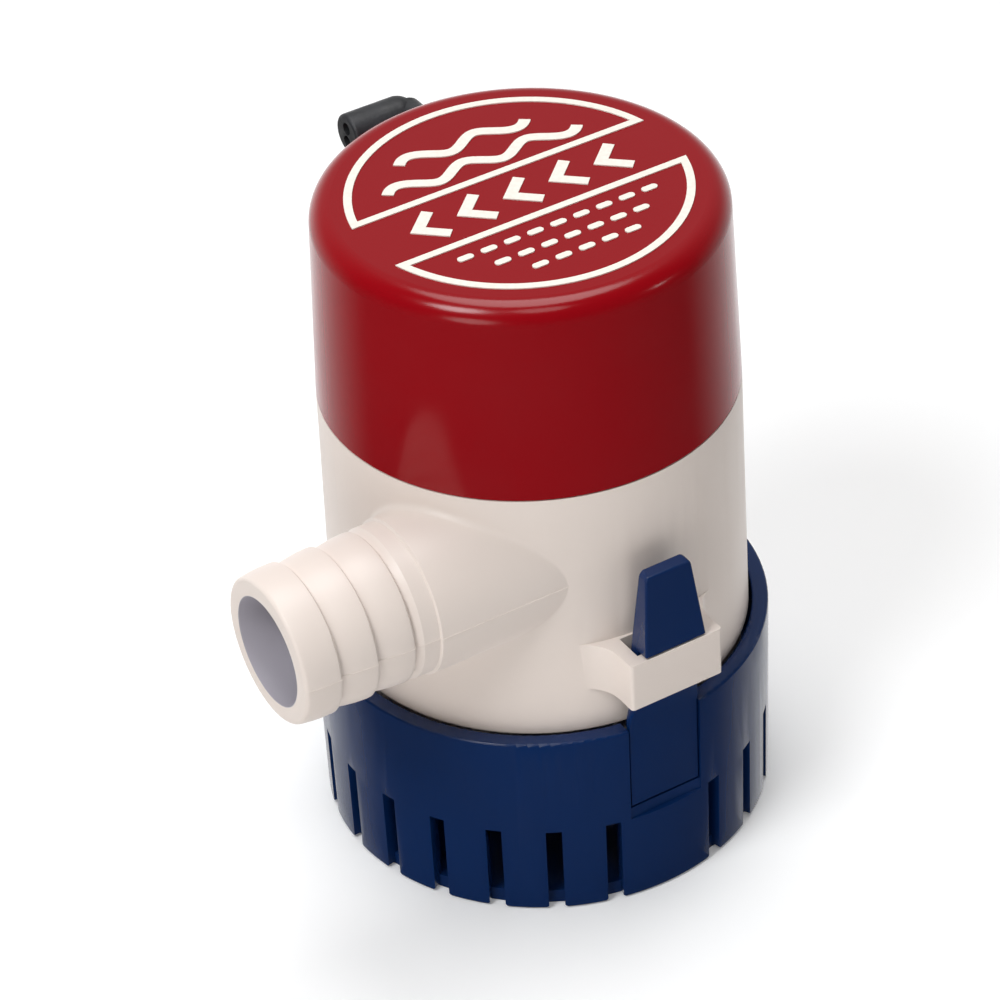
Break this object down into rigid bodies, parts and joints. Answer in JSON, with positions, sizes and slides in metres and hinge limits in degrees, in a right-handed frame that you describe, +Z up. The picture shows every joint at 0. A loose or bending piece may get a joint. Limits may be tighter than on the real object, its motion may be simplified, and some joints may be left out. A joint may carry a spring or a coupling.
{
  "type": "bilge pump",
  "caption": "Small submersible bilge pump: slotted clip-on strainer base, drum housing with a side hose barb, domed-edge motor cap and rubber cable boot.",
  "frame": {"origin": "centre of the underside of the strainer base, on the pump's upright axis", "axes": "+Z up along the motor axis, hose barb towards -X, latches on -Y and +Y, cable boot on the +Y side"},
  "size_m": [0.0775, 0.0686, 0.0922],
  "materials": {
    "navy_plastic": "glossy navy moulded plastic",
    "white_plastic": "satin warm white moulded plastic",
    "black_plastic": "matte black moulded plastic",
    "black_rubber": "matte black rubber",
    "stainless": "bright stainless steel",
    "plated_steel": "zinc plated steel",
    "ferrite": "dark grey ferrite",
    "spring_steel": "blued spring steel",
    "bronze": "sintered bronze",
    "lamination_steel": "stacked lamination steel",
    "copper_wire": "enamelled copper wire",
    "commutator_copper": "turned copper",
    "washer_plastic": "natural nylon",
    "carbon": "pressed carbon",
    "tinned_brass": "tinned brass",
    "red_plastic": "glossy deep red moulded plastic",
    "lead_brown": "brown lead insulation",
    "lead_black": "black lead insulation",
    "white_print": "white printed ink"
  },
  "bodies": {
    "pump": {"strainer_base": "navy_plastic", "pump_housing": "white_plastic", "inlet_plate": "white_plastic", "motor_cup": "white_plastic", "cup_seal_ring": "black_rubber", "shaft_seal": "black_rubber", "seal_retainer": "stainless", "motor_can": "plated_steel", "magnet_left": "ferrite", "magnet_right": "ferrite", "magnet_clip": "spring_steel", "lower_bearing": "bronze", "upper_bearing": "bronze", "end_bell": "black_plastic", "brush_left": "carbon", "brush_right": "carbon", "brush_arm_left": "bronze", "brush_arm_right": "bronze", "terminal_left": "tinned_brass", "terminal_right": "tinned_brass", "motor_cap": "red_plastic", "cap_gasket": "black_rubber", "cable_boot": "black_rubber", "lead_positive": "lead_brown", "lead_negative": "lead_black", "printed_label": "white_print"},
    "rotor": {"motor_shaft": "stainless", "armature_core": "lamination_steel", "windings": "copper_wire", "commutator": "commutator_copper", "thrust_washers": "washer_plastic", "impeller": "black_plastic"},
    "front_latch": {"latch_tab_front": "navy_plastic"},
    "rear_latch": {"latch_tab_rear": "navy_plastic"}
  },
  "joints": [
    {"name": "rotor_spin", "type": "hinge", "parent": "pump", "child": "rotor", "pos_m": [0, 0, 0.05], "axis": [0, 0, 1], "continuous": true},
    {"name": "front_latch_press", "type": "hinge", "parent": "pump", "child": "front_latch", "pos_m": [0, -0.0282, 0.015], "axis": [-1, 0, 0], "range_deg": [0, 3.3], "stiffness_Nm_per_rad": 6},
    {"name": "rear_latch_press", "type": "hinge", "parent": "pump", "child": "rear_latch", "pos_m": [0, 0.0282, 0.015], "axis": [1, 0, 0], "range_deg": [0, 3.3], "stiffness_Nm_per_rad": 6}
  ]
}
